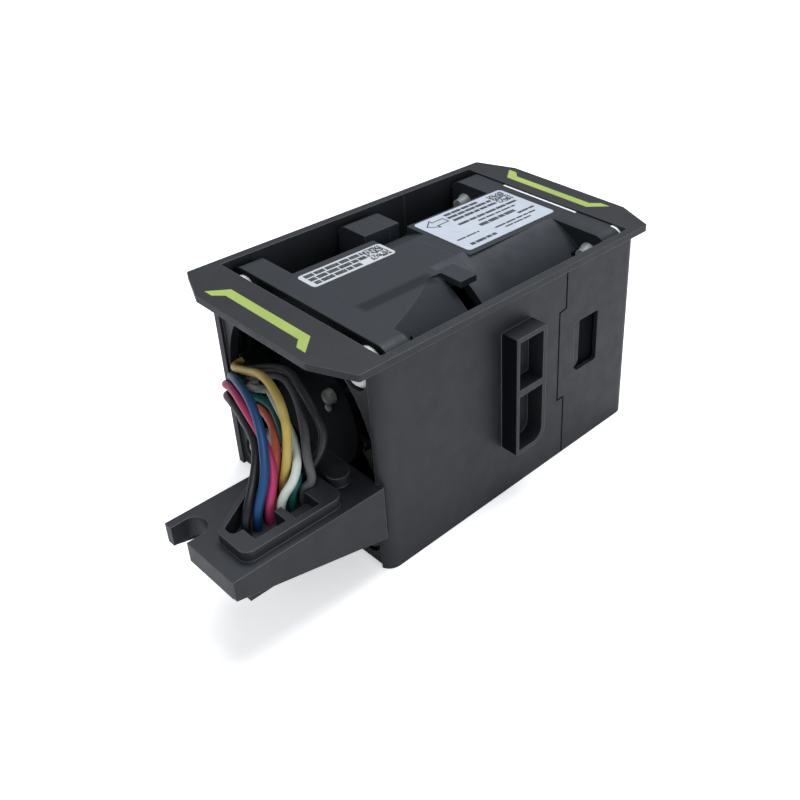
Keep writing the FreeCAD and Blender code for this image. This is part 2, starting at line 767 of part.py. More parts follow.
def make_impeller(blades):
    """Moulded rotor of the front fan: cup-shaped hub with twisted blades and a boss for the shaft."""
    y0 = fan_front_y + rotor_start
    y1 = y0 + rotor_length
    tip = duct_radius - blade_tip_gap
    middle_y = y0 + rotor_length / 2
    root_wire = blade_section(hub_radius - hub_wall, middle_y, blade_chord_root, blade_pitch_root,
                              blade_camber_root, blade_thickness_root)
    tip_wire = blade_section(tip + blade_overrun, middle_y, blade_chord_tip, blade_pitch_tip,
                             blade_camber_tip, blade_thickness_tip)
    blade = Part.makeLoft([root_wire, tip_wire], True, True)
    blade = blade.common(along_y(tip, y0 - 3, y1 + 3, 0, axis_z))
    hub = along_y(hub_radius, y0, y1, 0, axis_z)
    nose = cone_y(hub_radius, hub_radius - hub_nose, y1, y1 + hub_nose, 0, axis_z)
    rotor = fuse_all([hub, nose] + [turned(blade, 360.0 * i / blades) for i in range(blades)])
    cup = along_y(hub_radius - hub_wall, y0 - 3, y1 - rotor_end_wall, 0, axis_z)
    boss = along_y(boss_radius, fan_front_y + tube_end + spring_height, y1, 0, axis_z)
    shaft_hole = along_y(shaft_radius, y0 - 3, y1 - rotor_end_wall / 2, 0, axis_z)
    return rotor.cut(cup).fuse(boss).cut(shaft_hole)


# ---- motor pieces (built for the front fan, mirrored for the rear one) ----------------------------
def make_yoke():
    """Steel cup that carries the magnet, with a hole for the boss."""
    y0 = fan_front_y + rotor_start + yoke_start
    y1 = y0 + yoke_length
    cup = along_y(yoke_outer, y0, y1, 0, axis_z)
    inside = along_y(yoke_outer - yoke_wall, y0 - 1, y1 - yoke_wall, 0, axis_z)
    hole = along_y(tube_outer + air_gap, y0 - 1, y1 + 1, 0, axis_z)
    return cup.cut(inside).cut(hole)


def make_magnet():
    y0 = fan_front_y + rotor_start + magnet_start
    return ring_y(magnet_outer, magnet_inner, y0, y0 + magnet_length, 0, axis_z)


def make_shaft():
    start = fan_front_y + bore_start + shaft_clearance
    end = fan_front_y + rotor_start + rotor_length - rotor_end_wall / 2
    return along_y(shaft_radius, start, end, 0, axis_z)


def bearing_starts():
    lower = fan_front_y + clip_start + clip_thickness
    return [lower, fan_front_y + tube_end - bearing_width]


def make_outer_rings():
    inner = bearing_radius - bearing_ring
    return Part.makeCompound([ring_y(bearing_radius, inner, y, y + bearing_width, 0, axis_z)
                              for y in bearing_starts()])


def make_inner_rings():
    return Part.makeCompound([ring_y(inner_ring_radius, shaft_radius, y, y + bearing_width, 0, axis_z)
                              for y in bearing_starts()])


def make_clip():
    """Slotted retaining clip that keeps the shaft in its bearings."""
    y0 = fan_front_y + clip_start
    ring = ring_y(clip_radius, shaft_radius, y0, y0 + clip_thickness, 0, axis_z)
    mouth = box(-clip_mouth / 2, clip_mouth / 2, y0 - 1, y0 + clip_thickness + 1, axis_z,
                axis_z + clip_radius + 1)
    return ring.cut(mouth)


def make_spring():
    """Bowed washer that presses the upper bearing's inner ring away from the boss."""
    start = fan_front_y + tube_end
    end = start + spring_height
    middle = Vec(0, end, axis_z)
    bow = Part.Arc(Vec(-spring_radius, start + spring_thickness, axis_z), middle,
                   Vec(spring_radius, start + spring_thickness, axis_z)).toShape()
    lower_bow = Part.Arc(Vec(spring_radius, start, axis_z), Vec(0, end - spring_thickness, axis_z),
                         Vec(-spring_radius, start, axis_z)).toShape()
    right = Part.LineSegment(Vec(spring_radius, start + spring_thickness, axis_z),
                             Vec(spring_radius, start, axis_z)).toShape()
    left = Part.LineSegment(Vec(-spring_radius, start, axis_z),
                            Vec(-spring_radius, start + spring_thickness, axis_z)).toShape()
    strip = Part.Face(Part.Wire([bow, right, lower_bow, left])).extrude(Vec(0, 0, 2 * spring_radius))
    strip.translate(Vec(0, 0, -spring_radius))
    washer = ring_y(spring_radius, shaft_radius + fit_gap, start - 1, end + 1, 0, axis_z)
    return strip.common(washer)


def make_stator():
    """Laminated core: a ring on the bearing tube, teeth, and curved shoes close to the magnet."""
    y0 = fan_front_y + stator_start
    y1 = y0 + stator_length
    ring = ring_y(stator_inner + stator_ring, stator_inner, y0, y1, 0, axis_z)
    shoes = ring_y(stator_outer, stator_outer - shoe_thickness, y0, y1, 0, axis_z)
    step = 360.0 / stator_teeth
    for i in range(stator_teeth):
        slot = box(stator_inner + stator_ring + tooth_root, stator_outer + 1, y0 - 1, y1 + 1,
                   axis_z - shoe_slot / 2, axis_z + shoe_slot / 2)
        shoes = shoes.cut(turned(slot, step * (i + 0.5)))
    tooth = box(stator_inner + stator_ring / 2, stator_outer - shoe_thickness / 2, y0, y1,
                axis_z - tooth_width / 2, axis_z + tooth_width / 2)
    return fuse_all([ring, shoes] + [turned(tooth, step * i) for i in range(stator_teeth)])


def make_windings():
    """One coil round each tooth, between the core's ring and its shoes."""
    y0 = fan_front_y + stator_start - coil_end
    y1 = fan_front_y + stator_start + stator_length + coil_end
    inner = stator_inner + stator_ring + coil_clearance
    outer = math.sqrt((stator_outer - shoe_thickness) ** 2 - coil_half_width ** 2) - coil_clearance
    coil = plan_prism([(inner, y0, 0), (outer, y0, 0), (outer, y1, 0), (inner, y1, 0)],
                      axis_z - coil_half_width, axis_z + coil_half_width)
    hole = box(inner - 1, outer + 1, y0 + coil_end, y1 - coil_end, axis_z - tooth_width / 2,
               axis_z + tooth_width / 2)
    coil = coil.cut(hole)
    return Part.makeCompound([turned(coil, 360.0 / stator_teeth * i) for i in range(stator_teeth)])


def make_board():
    """Ring-shaped driver board on the motor base, with its three chips."""
    y0 = fan_front_y + base_disc
    y1 = y0 + board_thickness
    board = ring_y(board_radius, board_hole, y0, y1, 0, axis_z)
    middle = (board_radius + board_hole) / 2
    chip = box(middle - chip_half_width, middle + chip_half_width, y1, y1 + chip_height,
               axis_z - chip_half_length, axis_z + chip_half_length)
    return fuse_all([board] + [turned(chip, angle) for angle in chip_angles])


def rotor_set(prefix, blades, place):
    return {
        prefix + "_impeller": place(make_impeller(blades)),
        prefix + "_rotor_yoke": place(make_yoke()),
        prefix + "_magnet_ring": place(make_magnet()),
        prefix + "_shaft": place(make_shaft()),
        prefix + "_bearing_inner_rings": place(make_inner_rings()),
        prefix + "_retaining_clip": place(make_clip()),
        prefix + "_preload_spring": place(make_spring()),
    }


def stator_set(prefix, place):
    return {
        prefix + "_bearing_outer_rings": place(make_outer_rings()),
        prefix + "_stator_core": place(make_stator()),
        prefix + "_stator_windings": place(make_windings()),
        prefix + "_driver_board": place(make_board()),
    }


# ---- rubber pins, gasket, labels -----------------------------------------------------------------
def make_pin(face_y, plate, collar, x, z):
    """Pull-through rubber pin of the front end; face_y is the end plate's outer face."""
    head_y = face_y + pin_head_sunk
    seat_y = face_y + pin_recess
    plate_y = face_y + plate
    flange_y = plate_y + collar
    flange_end = flange_y + end_flange
    tail_end = flange_end + pin_tail
    return revolved([
        (head_y, 0, 0), (head_y, pin_head_radius - pin_bevel, 0),
        (head_y + pin_bevel, pin_head_radius, 0),
        (seat_y, pin_head_radius, 0), (seat_y, pin_neck_radius, 0),
        (plate_y, pin_neck_radius, 0), (plate_y, pin_collar_radius, 0),
        (flange_y, pin_collar_radius, 0), (flange_y, pin_neck_radius, 0),
        (flange_end, pin_neck_radius, 0), (flange_end, pin_bulb_radius, 0),
        (flange_end + pin_bulb_length, pin_tail_radius, 0), (tail_end, pin_tail_radius, 0),
        (tail_end, 0, 0)], x, z)


def make_front_isolators():
    face = front_plate_recess
    return Part.makeCompound([make_pin(face, front_plate, front_collar, x, z) for x, z in pin_places()])


def make_rear_isolators():
    pins = [make_pin(0, rear_plate, rear_collar, x, z) for x, z in pin_places()]
    mirrored = Part.makeCompound(pins).mirror(Vec(0, 0, 0), Vec(0, 1, 0))
    mirrored.translate(Vec(0, sleeve_length, 0))
    return mirrored


def make_gasket():
    """Foam seal between the rear fan's flange and the rear end plate."""
    y0 = fan_rear_y + gasket_gap
    y1 = y0 + gasket_thickness
    cuts = [along_y(gasket_opening, y0 - 1, y1 + 1, 0, axis_z)]
    for x, z in pin_places():
        cuts.append(along_y(pin_collar_radius + gasket_pin_gap, y0 - 1, y1 + 1, x, z))
    return cut_all(fan_square(y0, y1), cuts)


def make_label(left, right, y0, y1):
    return plan_prism([(-left, y0, label_corner), (right, y0, label_corner), (right, y1, label_corner),
                       (-left, y1, label_corner)], fan_top, fan_top + label_thickness)


# ---- leads -------------------------------------------------------------------------------------
# For each lead: its place in the lead exit (column, row), its contact (column, row), and the points
# between them that it bends towards.
lead_routes = {
    "lead_black_outer": ((0, 0), (1, 0), [(-14.5, -5, 20), (-8.5, -7.5, 23.5), (-1.5, -9, 25),
                                          (5, -11.5, 25), (10, -15.5, 22.5)]),
    "lead_black_inner": ((1, 0), (0, 2), [(-11.5, -4, 18), (-5.5, -5, 18.5), (0, -8, 19.5),
                                          (5.5, -11, 21.5), (9, -14, 21.5)]),
    "lead_magenta": ((0, 1), (1, 2), [(-15.5, -2.5, 20.5), (-10.5, -4.5, 21.5), (-4.5, -5.5, 22),
                                      (1.5, -7.5, 22.5), (8.5, -11, 23.5)]),
    "lead_blue": ((0, 2), (1, 1), [(-15, -5, 25), (-9.5, -7.5, 29), (-2, -7.5, 31),
                                   (5, -9, 28), (10, -12.5, 24.5)]),
    "lead_orange": ((1, 1), (0, 3), [(-13.5, -2.5, 19), (-9.5, -2, 21.5), (-4, -3, 23),
                                     (2.5, -5.5, 23), (8, -9.5, 22)]),
    "lead_teal": ((1, 2), (1, 4), [(-13.5, -3.5, 23.5), (-8, -4.5, 27), (-0.5, -5, 28.5),
                                   (6.5, -7.5, 27.5), (12, -8.5, 23.5)]),
    "lead_yellow": ((0, 3), (0, 4), [(-13.5, -4.5, 28), (-5, -5.5, 32), (3.5, -5.5, 31),
                                     (8, -4.5, 25), (9, -8, 21.5)]),
    "lead_white": ((2, 1.5), (1, 3), [(-11, -3.5, 23), (-5.5, -3, 26), (1, -4, 27),
                                      (7, -6, 25.5), (10.5, -9.5, 22.5)]),
    "lead_grey": ((2, 2.5), (1, 5), [(-10.5, -3, 25), (-4, 0, 28), (4.5, -1.5, 25.5),
                                     (12, -4, 23), (14, -6.5, 22)]),
    "lead_charcoal": ((1, 3), (0, 5), [(-11.5, -3.5, 26.5), (-3.5, -2, 31), (5.5, -1.5, 30.5),
                                       (11, -3, 27.5), (12.2, -6.3, 24)]),
}


def lead_points(exit_place, contact_place, between):
    exit_x = lead_exit_first_x + exit_place[0] * lead_pitch
    exit_z = lead_exit_first_z + exit_place[1] * lead_pitch
    x = contact_columns[contact_place[0]]
    y = contact_first_y + contact_place[1] * contact_pitch
    start = [(exit_x, lead_exit_y, exit_z), (exit_x, lead_exit_y - lead_straight, exit_z)]
    return start + between + [(x, y, housing_top + lead_straight), (x, y, housing_top)]


def lead_path(points):
    """Straight runs joined by arcs as large as the runs allow."""
    corners = [Vec(*point) for point in points]
    edges = []
    radii = []
    here = corners[0]
    for i in range(1, len(corners) - 1):
        corner = corners[i]
        back = corners[i - 1] - corner
        ahead = corners[i + 1] - corner
        reach = lead_arc_share * min(back.Length, ahead.Length)
        back.normalize()
        ahead.normalize()
        half = back.getAngle(ahead) / 2
        radius = reach * math.tan(half)
        middle = corner + (back + ahead).normalize() * (radius / math.sin(half) - radius)
        start = corner + back * reach
        end = corner + ahead * reach
        edges.append(Part.LineSegment(here, start).toShape())
        edges.append(Part.Arc(start, middle, end).toShape())
        radii.append(radius)
        here = end
    edges.append(Part.LineSegment(here, corners[-1]).toShape())
    return Part.Wire(edges), radii


def make_lead(name, points):
    path, radii = lead_path(points)
    start = Vec(*points[0])
    direction = Vec(*points[1]) - start
    circle = Part.Wire([Part.Circle(start, direction, lead_diameter / 2).toShape()])
    tube = path.makePipeShell([circle], True, False)
    expected = math.pi * (lead_diameter / 2) ** 2 * path.Length
    print(name, "radii", [round(r, 1) for r in radii], "length", round(path.Length, 1),
          "volume", round(tube.Volume, 2), "expected", round(expected, 2))
    return tube


# ---- the whole module --------------------------------------------------------------------------
def unmoved(shape):
    return shape


def build():
    casing = make_casing()
    parts = {
        "front_shell": make_front_shell(casing),
        "rear_shell": make_rear_shell(casing),
        "front_stripe": make_stripe(band_front_y, 1),
        "rear_stripe": make_stripe(band_rear_y, -1),
        "front_fan_frame": make_front_frame(),
        "rear_fan_frame": make_rear_frame(),
        "front_isolators": make_front_isolators(),
        "rear_isolators": make_rear_isolators(),
        "rear_gasket": make_gasket(),
        "serial_label": make_label(serial_left, serial_right, serial_front_y, serial_rear_y),
        "rating_label": make_label(rating_left, rating_right, rating_front_y, rating_rear_y),
        "connector_housing": make_housing(),
        "connector_contacts": make_contacts(),
    }
    parts.update(rotor_set("front", front_blades, unmoved))
    parts.update(rotor_set("rear", rear_blades, mirrored_fan))
    parts.update(stator_set("front", unmoved))
    parts.update(stator_set("rear", mirrored_fan))
    for name, (exit_place, contact_place, between) in lead_routes.items():
        parts[name] = make_lead(name, lead_points(exit_place, contact_place, between))
    return parts


def export(parts):
    os.makedirs("parts", exist_ok=True)
    for name, shape in parts.items():
        placed = shape.copy()
        placed.translate(Vec(0, -origin_y, 0))
        placed.exportStep(os.path.join("parts", name + ".step"))
        print(name, "solids", len(placed.Solids), "valid", placed.isValid(),
              "volume", round(placed.Volume, 2))


export(build())
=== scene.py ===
import math
import random

import bmesh
import bpy
from mathutils import Matrix, Vector


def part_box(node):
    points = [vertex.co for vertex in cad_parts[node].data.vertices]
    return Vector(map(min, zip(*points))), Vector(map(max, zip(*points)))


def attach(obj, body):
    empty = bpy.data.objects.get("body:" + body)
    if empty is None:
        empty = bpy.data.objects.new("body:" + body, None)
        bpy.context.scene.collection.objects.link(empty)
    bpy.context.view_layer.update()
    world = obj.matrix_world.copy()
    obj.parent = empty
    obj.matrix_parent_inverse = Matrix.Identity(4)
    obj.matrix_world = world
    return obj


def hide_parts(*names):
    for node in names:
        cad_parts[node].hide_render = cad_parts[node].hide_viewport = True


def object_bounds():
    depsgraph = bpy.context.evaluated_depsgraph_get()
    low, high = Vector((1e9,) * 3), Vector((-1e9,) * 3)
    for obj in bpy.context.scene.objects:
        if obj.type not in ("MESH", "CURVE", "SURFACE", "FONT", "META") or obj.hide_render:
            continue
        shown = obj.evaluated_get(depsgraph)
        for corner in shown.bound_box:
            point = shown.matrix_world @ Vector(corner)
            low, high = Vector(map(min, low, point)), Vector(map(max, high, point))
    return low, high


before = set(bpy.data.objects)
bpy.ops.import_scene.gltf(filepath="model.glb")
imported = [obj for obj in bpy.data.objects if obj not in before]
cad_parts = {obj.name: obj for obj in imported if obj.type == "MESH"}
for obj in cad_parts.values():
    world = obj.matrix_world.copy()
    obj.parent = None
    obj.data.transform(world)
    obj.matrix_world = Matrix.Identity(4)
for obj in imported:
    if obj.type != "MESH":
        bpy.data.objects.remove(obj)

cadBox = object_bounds()
scene = bpy.context.scene
millimetre = 0.001
random.seed(11)          # the printed dashes come out the same every time


# Camera: turned round the module, looking down at the cable tongue.
cameraView = {
    "azimuth": 41.06,              # degrees round the module from its front
    "elevation": 30.87,
    "roll": 1.24,
    "aim": (0.0, -0.0008, 0.020),
    "distance": 0.17226,           # back from the aim
    "across": 0.02638,             # slid to the right, then up, in the camera's own plane
    "rise": 0.00917,
    "lens": 43.57,
    "sensor": 36.0,
    "shift": (-0.1716, -0.1011),
    "nearest": 0.005,
}


def placeCamera(values):
    azimuth, elevation, roll = (math.radians(values[key]) for key in ("azimuth", "elevation", "roll"))
    back = Vector((math.sin(azimuth) * math.cos(elevation), -math.cos(azimuth) * math.cos(elevation),
                   math.sin(elevation)))
    level = Vector((math.cos(azimuth), math.sin(azimuth), 0.0))
    upright = back.cross(level)
    right = level * math.cos(roll) + upright * math.sin(roll)
    up = upright * math.cos(roll) - level * math.sin(roll)
    place = Vector(values["aim"]) + back * values["distance"] + right * values["across"] + up * values["rise"]
    data = bpy.data.cameras.new("moduleCamera")
    data.lens = values["lens"]
    data.sensor_width = values["sensor"]
    data.shift_x, data.shift_y = values["shift"]
    data.clip_start = values["nearest"]
    camera = bpy.data.objects.new("moduleCamera", data)
    scene.collection.objects.link(camera)
    turn = Matrix((right, up, back)).transposed().to_4x4()
    camera.matrix_world = Matrix.Translation(place) @ turn
    scene.camera = camera


placeCamera(cameraView)
print("camera placed")


# Small helpers that put material nodes in place.
cloudRange = (0.3, 0.7)    # where most of a noise lies
softEdge = 0.1             # millimetres over which a dark place fades out


def startMaterial(name):
    material = bpy.data.materials.new(name)
    material.use_nodes = True
    tree = material.node_tree
    return material, tree, tree.nodes["Principled BSDF"]


def addNode(tree, kind, **settings):
    node = tree.nodes.new(kind)
    for key, value in settings.items():
        setattr(node, key, value)
    return node


def setInputs(node, **values):
    for key, value in values.items():
        node.inputs[key.replace("_", " ")].default_value = value


# A link where the value comes out of another node, and a plain value otherwise.
def feedSocket(tree, socket, value):
    if isinstance(value, bpy.types.NodeSocket):
        tree.links.new(value, socket)
    elif socket.type == "RGBA":
        socket.default_value = (*value, 1.0)
    else:
        socket.default_value = value


def objectPlace(tree, stretch=(1.0, 1.0, 1.0)):
    coordinate = addNode(tree, "ShaderNodeTexCoord")
    mapping = addNode(tree, "ShaderNodeMapping")
    mapping.inputs["Scale"].default_value = stretch
    tree.links.new(coordinate.outputs["Object"], mapping.inputs["Vector"])
    return mapping.outputs["Vector"]


def noiseNode(tree, vector, scale, detail=3.0, roughness=0.55):
    node = addNode(tree, "ShaderNodeTexNoise")
    setInputs(node, Scale=scale, Detail=detail, Roughness=roughness)
    tree.links.new(vector, node.inputs["Vector"])
    return node.outputs["Fac"]


def cellNode(tree, vector, scale, feature="F1"):
    node = addNode(tree, "ShaderNodeTexVoronoi", feature=feature)
    setInputs(node, Scale=scale)
    tree.links.new(vector, node.inputs["Vector"])
    return node.outputs["Distance"]


# Fades from the dark colour to the light one over a stretch of the factor.
def rampNode(tree, factor, dark, light, stretch=cloudRange):
    node = addNode(tree, "ShaderNodeValToRGB")
    for element, place, colour in zip(node.color_ramp.elements, stretch, (dark, light)):
        element.position = place
        element.color = (*colour, 1.0)
    tree.links.new(factor, node.inputs["Fac"])
    return node.outputs["Color"]


def rangeNode(tree, value, source, target):
    node = addNode(tree, "ShaderNodeMapRange")
    setInputs(node, From_Min=source[0], From_Max=source[1], To_Min=target[0], To_Max=target[1])
    tree.links.new(value, node.inputs["Value"])
    return node.outputs["Result"]


def mixColour(tree, factor, first, second):
    node = addNode(tree, "ShaderNodeMix", data_type="RGBA")
    # a mix node keeps its colours in sockets 6 and 7, and gives the mixed colour in output 2
    for socket, value in ((node.inputs[0], factor), (node.inputs[6], first), (node.inputs[7], second)):
        feedSocket(tree, socket, value)
    return node.outputs[2]


def mathNode(tree, operation, first, second):
    node = addNode(tree, "ShaderNodeMath", operation=operation)
    for socket, value in zip(node.inputs, (first, second)):
        feedSocket(tree, socket, value)
    return node.outputs["Value"]


def vectorNode(tree, operation, first, second=(0.0, 0.0, 0.0)):
    node = addNode(tree, "ShaderNodeVectorMath", operation=operation)
    for socket, value in zip(node.inputs, (first, second)):
        feedSocket(tree, socket, value)
    return node


# One inside a box of the shared frame (millimetres), falling to zero over a soft edge.
def boxMask(tree, place, low, high, soft=softEdge):
    centre = tuple((a + b) / 2 * millimetre for a, b in zip(low, high))
    half = tuple((b - a) / 2 * millimetre for a, b in zip(low, high))
    offset = vectorNode(tree, "SUBTRACT", place, centre).outputs["Vector"]
    away = vectorNode(tree, "ABSOLUTE", offset).outputs["Vector"]
    outside = vectorNode(tree, "SUBTRACT", away, half).outputs["Vector"]
    parts = addNode(tree, "ShaderNodeSeparateXYZ")
    tree.links.new(outside, parts.inputs["Vector"])
    furthest = mathNode(tree, "MAXIMUM", parts.outputs["X"], parts.outputs["Y"])
    furthest = mathNode(tree, "MAXIMUM", furthest, parts.outputs["Z"])
    return rangeNode(tree, furthest, (0.0, soft * millimetre), (1.0, 0.0))


# One inside the round duct that runs along Y.
def ductMask(tree, place, radius, axisHeight):
    flat = vectorNode(tree, "MULTIPLY", place, (1.0, 0.0, 1.0)).outputs["Vector"]
    spoke = vectorNode(tree, "SUBTRACT", flat, (0.0, 0.0, axisHeight * millimetre)).outputs["Vector"]
    reach = vectorNode(tree, "LENGTH", spoke).outputs["Value"]
    return rangeNode(tree, reach, (radius * millimetre, (radius + softEdge) * millimetre), (1.0, 0.0))


# Strongest of the painted shade places listed for a plastic.
def paintedShadePlaces(tree, place, values):
    masks = [boxMask(tree, place, low, high) for low, high in values["paintedShadeBoxes"]]
    if "paintedShadeDuct" in values:
        masks.append(ductMask(tree, place, *values["paintedShadeDuct"]))
    for low, high, soft, amount in values.get("softPaintedShade", []):
        masks.append(mathNode(tree, "MULTIPLY", boxMask(tree, place, low, high, soft), amount))
    total = masks[0]
    for mask in masks[1:]:
        total = mathNode(tree, "MAXIMUM", total, mask)
    return total


# Falls below one towards the part's own sharp edges; the second output is the rounded normal.
def edgeFacing(tree, width):
    bevel = addNode(tree, "ShaderNodeBevel", samples=6)
    setInputs(bevel, Radius=width)
    geometry = addNode(tree, "ShaderNodeNewGeometry")
    facing = vectorNode(tree, "DOT_PRODUCT", bevel.outputs["Normal"], geometry.outputs["Normal"])
    return facing.outputs["Value"], bevel.outputs["Normal"]


# Bump is the strength and the depth in metres.
def bumpNode(tree, height, bump, normal=None):
    node = addNode(tree, "ShaderNodeBump")
    setInputs(node, Strength=bump[0], Distance=bump[1])
    tree.links.new(height, node.inputs["Height"])
    if normal is not None:
        tree.links.new(normal, node.inputs["Normal"])
    return node.outputs["Normal"]


def wireShader(tree, shader, colour, roughness, normal=None):
    tree.links.new(colour, shader.inputs["Base Color"])
    feedSocket(tree, shader.inputs["Roughness"], roughness)
    if normal is not None:
        tree.links.new(normal, shader.inputs["Normal"])


def shaded(colour, share):
    return tuple(share * c for c in colour)


# Moulded plastics share one build: fine spark grain, cloudy gloss, paler edges that are partly wear and
# partly painted highlight, and a few dust specks.
plainPlastic = {
    "cloudScale": 90.0,
    "edgeWidth": 0.00022,
    "edgeTurn": (0.985, 0.80),     # facing where the wear starts and where it is full
    "edgeWearAndHighlight": 0.3,
    "edgeColour": (0.17, 0.18, 0.195),
    "speckScale": 2600.0,
    "speckCut": (0.72, 0.80),
    "dust": 0.12,
    "dustColour": (0.17, 0.175, 0.18),
    "glossScale": 279.0,
    "grainScale": 5200.0,
    "grain": 0.08,
    "grainDepth": 0.00004,
    "specular": 0.42,
}
# Painted shade: places that get little light, in millimetres of the shared frame, are darkened in the plastic
# itself.
deepShade = {
    "darkColour": (0.0022, 0.0028, 0.0036),
    "darkTint": (0.03, 0.035, 0.04),
    "darkAmount": 0.92,
}
sleevePlastic = dict(
    plainPlastic, **deepShade, dark=(0.0072, 0.0088, 0.0108), light=(0.0098, 0.0118, 0.0146),
    # the edge wear setting is raised here, so the paler edges carry painted highlight
    roughness=(0.44, 0.56), grain=0.22, edgeWearAndHighlight=0.6,
    # painted shade on the guides' front faces, and on the stretch behind the front plate
    paintedShadeBoxes=[((21.6, 5.5, 9.5), (25.2, 5.78, 34.2)), ((-25.2, 5.5, 9.5), (-21.6, 5.78, 34.2)),
               ((-20.2, -18.5, 0.5), (20.2, -16.4, 40.0))])
fanPlastic = dict(
    plainPlastic, **deepShade, dark=(0.0078, 0.0104, 0.0142), light=(0.0104, 0.0138, 0.019),
    roughness=(0.52, 0.64), grainScale=7000.0, grain=0.15,
    # painted shade inside the duct: the radius of the darkened round, and the height of its axis
    paintedShadeDuct=(18.75, 20.2),        # radius and height of the axis
    # painted shade on both sides of the frames, and on a slice at the face of the front motor base
    paintedShadeBoxes=[((19.7, -30.0, 0.0), (20.4, 50.0, 38.2)), ((-20.4, -30.0, 0.0), (-19.7, 50.0, 38.2)),
               ((-20.4, -17.0, 0.0), (20.4, -16.45, 41.0))],
    # low and high corner, soft edge, amount: painted shade as a streak along the front pad, and painted shade
    # on the rear barrel
    softPaintedShade=[((6.6, -11.0, 38.0), (8.2, 3.2, 41.0), 0.9, 0.55),
              ((9.0, 14.5, 22.0), (20.0, 34.0, 41.0), 2.5, 0.3)])
rotorPlastic = dict(
    plainPlastic, dark=(0.0035, 0.0040, 0.0048), light=(0.006, 0.0067, 0.0078), roughness=(0.34, 0.46))
studPlastic = dict(
    plainPlastic, dark=(0.105, 0.108, 0.10), light=(0.16, 0.165, 0.15), roughness=(0.39, 0.51))
connectorPlastic = dict(
    plainPlastic, dark=(0.010, 0.0105, 0.0115), light=(0.015, 0.0155, 0.0165), roughness=(0.44, 0.56))
limePlastic = dict(
    plainPlastic, dark=(0.27, 0.36, 0.075), light=(0.33, 0.43, 0.09), roughness=(0.36, 0.48), grain=0.1,
    edgeColour=(0.62, 0.74, 0.25), edgeWearAndHighlight=0.35, speckScale=1800.0, dust=0.2, dustColour=(0.20, 0.24, 0.10))


def mouldedPlastic(name, values):
    material, tree, shader = startMaterial(name)
    place = objectPlace(tree)
    cloud = noiseNode(tree, place, values["cloudScale"], detail=4.0)
    colour = rampNode(tree, cloud, values["dark"], values["light"])
    facing, rounded = edgeFacing(tree, values["edgeWidth"])
    # paler edges: partly wear, partly painted highlight
    wear = rangeNode(tree, facing, values["edgeTurn"], (0.0, values["edgeWearAndHighlight"]))
    colour = mixColour(tree, wear, colour, values["edgeColour"])
    specks = noiseNode(tree, place, values["speckScale"], detail=1.0)
    dust = rangeNode(tree, specks, values["speckCut"], (0.0, values["dust"]))
    colour = mixColour(tree, dust, colour, values["dustColour"])
    gloss = noiseNode(tree, place, values["glossScale"])
    rough = rangeNode(tree, gloss, cloudRange, values["roughness"])
    # painted shade: darker colour, reflection tinted away and full roughness in the listed places
    if "paintedShadeBoxes" in values:
        deep = mathNode(tree, "MULTIPLY", paintedShadePlaces(tree, place, values), values["darkAmount"])
        colour = mixColour(tree, deep, colour, values["darkColour"])
        tint = mixColour(tree, deep, (1.0, 1.0, 1.0), values["darkTint"])
        tree.links.new(tint, shader.inputs["Specular Tint"])
        rough = mathNode(tree, "MAXIMUM", rough, deep)
    grain = noiseNode(tree, place, values["grainScale"], detail=2.0)
    normal = bumpNode(tree, grain, (values["grain"], values["grainDepth"]), rounded)
    wireShader(tree, shader, colour, rough, normal)
    shader.inputs["Specular IOR Level"].default_value = values["specular"]
    return material


# Silicone rubber of the pull-through pins.
siliconeLook = {
    "colour": (0.74, 0.75, 0.73),
    "cloudShade": 0.9,
    "cloudScale": 500.0,
    "tailColour": (0.20, 0.215, 0.215),
    "tails": ((-24.0, -11.9, -1.0), (24.0, 34.6, 42.0)),     # greyer inside, between the two end flanges
    # painted shade: the lower right head at the front is darkened near black
    "paintedShadeHead": ((12.0, -25.0, 0.0), (22.0, -12.5, 8.0)),   # lower right head at the front
    "paintedHeadShadeColour": (0.02, 0.022, 0.024),
    "roughness": 0.38,
    "translucence": 0.35,
    "depth": 0.0012,
    "depthByColour": (1.0, 0.9, 0.8),
    "skinScale": 3000.0,
    "bump": (0.15, 0.00003),
}


def siliconeMaterial(values):
    material, tree, shader = startMaterial("siliconeWhite")
    place = objectPlace(tree)
    cloud = noiseNode(tree, place, values["cloudScale"])
    colour = rampNode(tree, cloud, shaded(values["colour"], values["cloudShade"]), values["colour"])
    inside = boxMask(tree, place, *values["tails"])
    colour = mixColour(tree, inside, colour, values["tailColour"])
    # painted shade on the lower right front head
    low = boxMask(tree, place, *values["paintedShadeHead"])
    colour = mixColour(tree, low, colour, values["paintedHeadShadeColour"])
    skin = noiseNode(tree, place, values["skinScale"])
    wireShader(tree, shader, colour, values["roughness"], bumpNode(tree, skin, values["bump"]))
    setInputs(shader, Subsurface_Weight=values["translucence"], Subsurface_Scale=values["depth"],
              Subsurface_Radius=values["depthByColour"])
    return material


# Foam seal at the rear end; its top edge carries painted shade, near black, except for two stretches left
# light.
foamLook = {
    "dark": (0.60, 0.60, 0.58),
    "light": (0.80, 0.80, 0.78),
    "stretch": (0.1, 0.6),
    "cellScale": 3500.0,
    "roughness": 0.9,
    "bump": (0.5, 0.00006),
    "paintedShadeStretches": [((-21.0, 30.0, 38.6), (-10.2, 45.0, 42.0)), ((8.6, 30.0, 38.6), (17.0, 45.0, 42.0))],
    "paintedFoamShadeColour": (0.020, 0.022, 0.025),
}


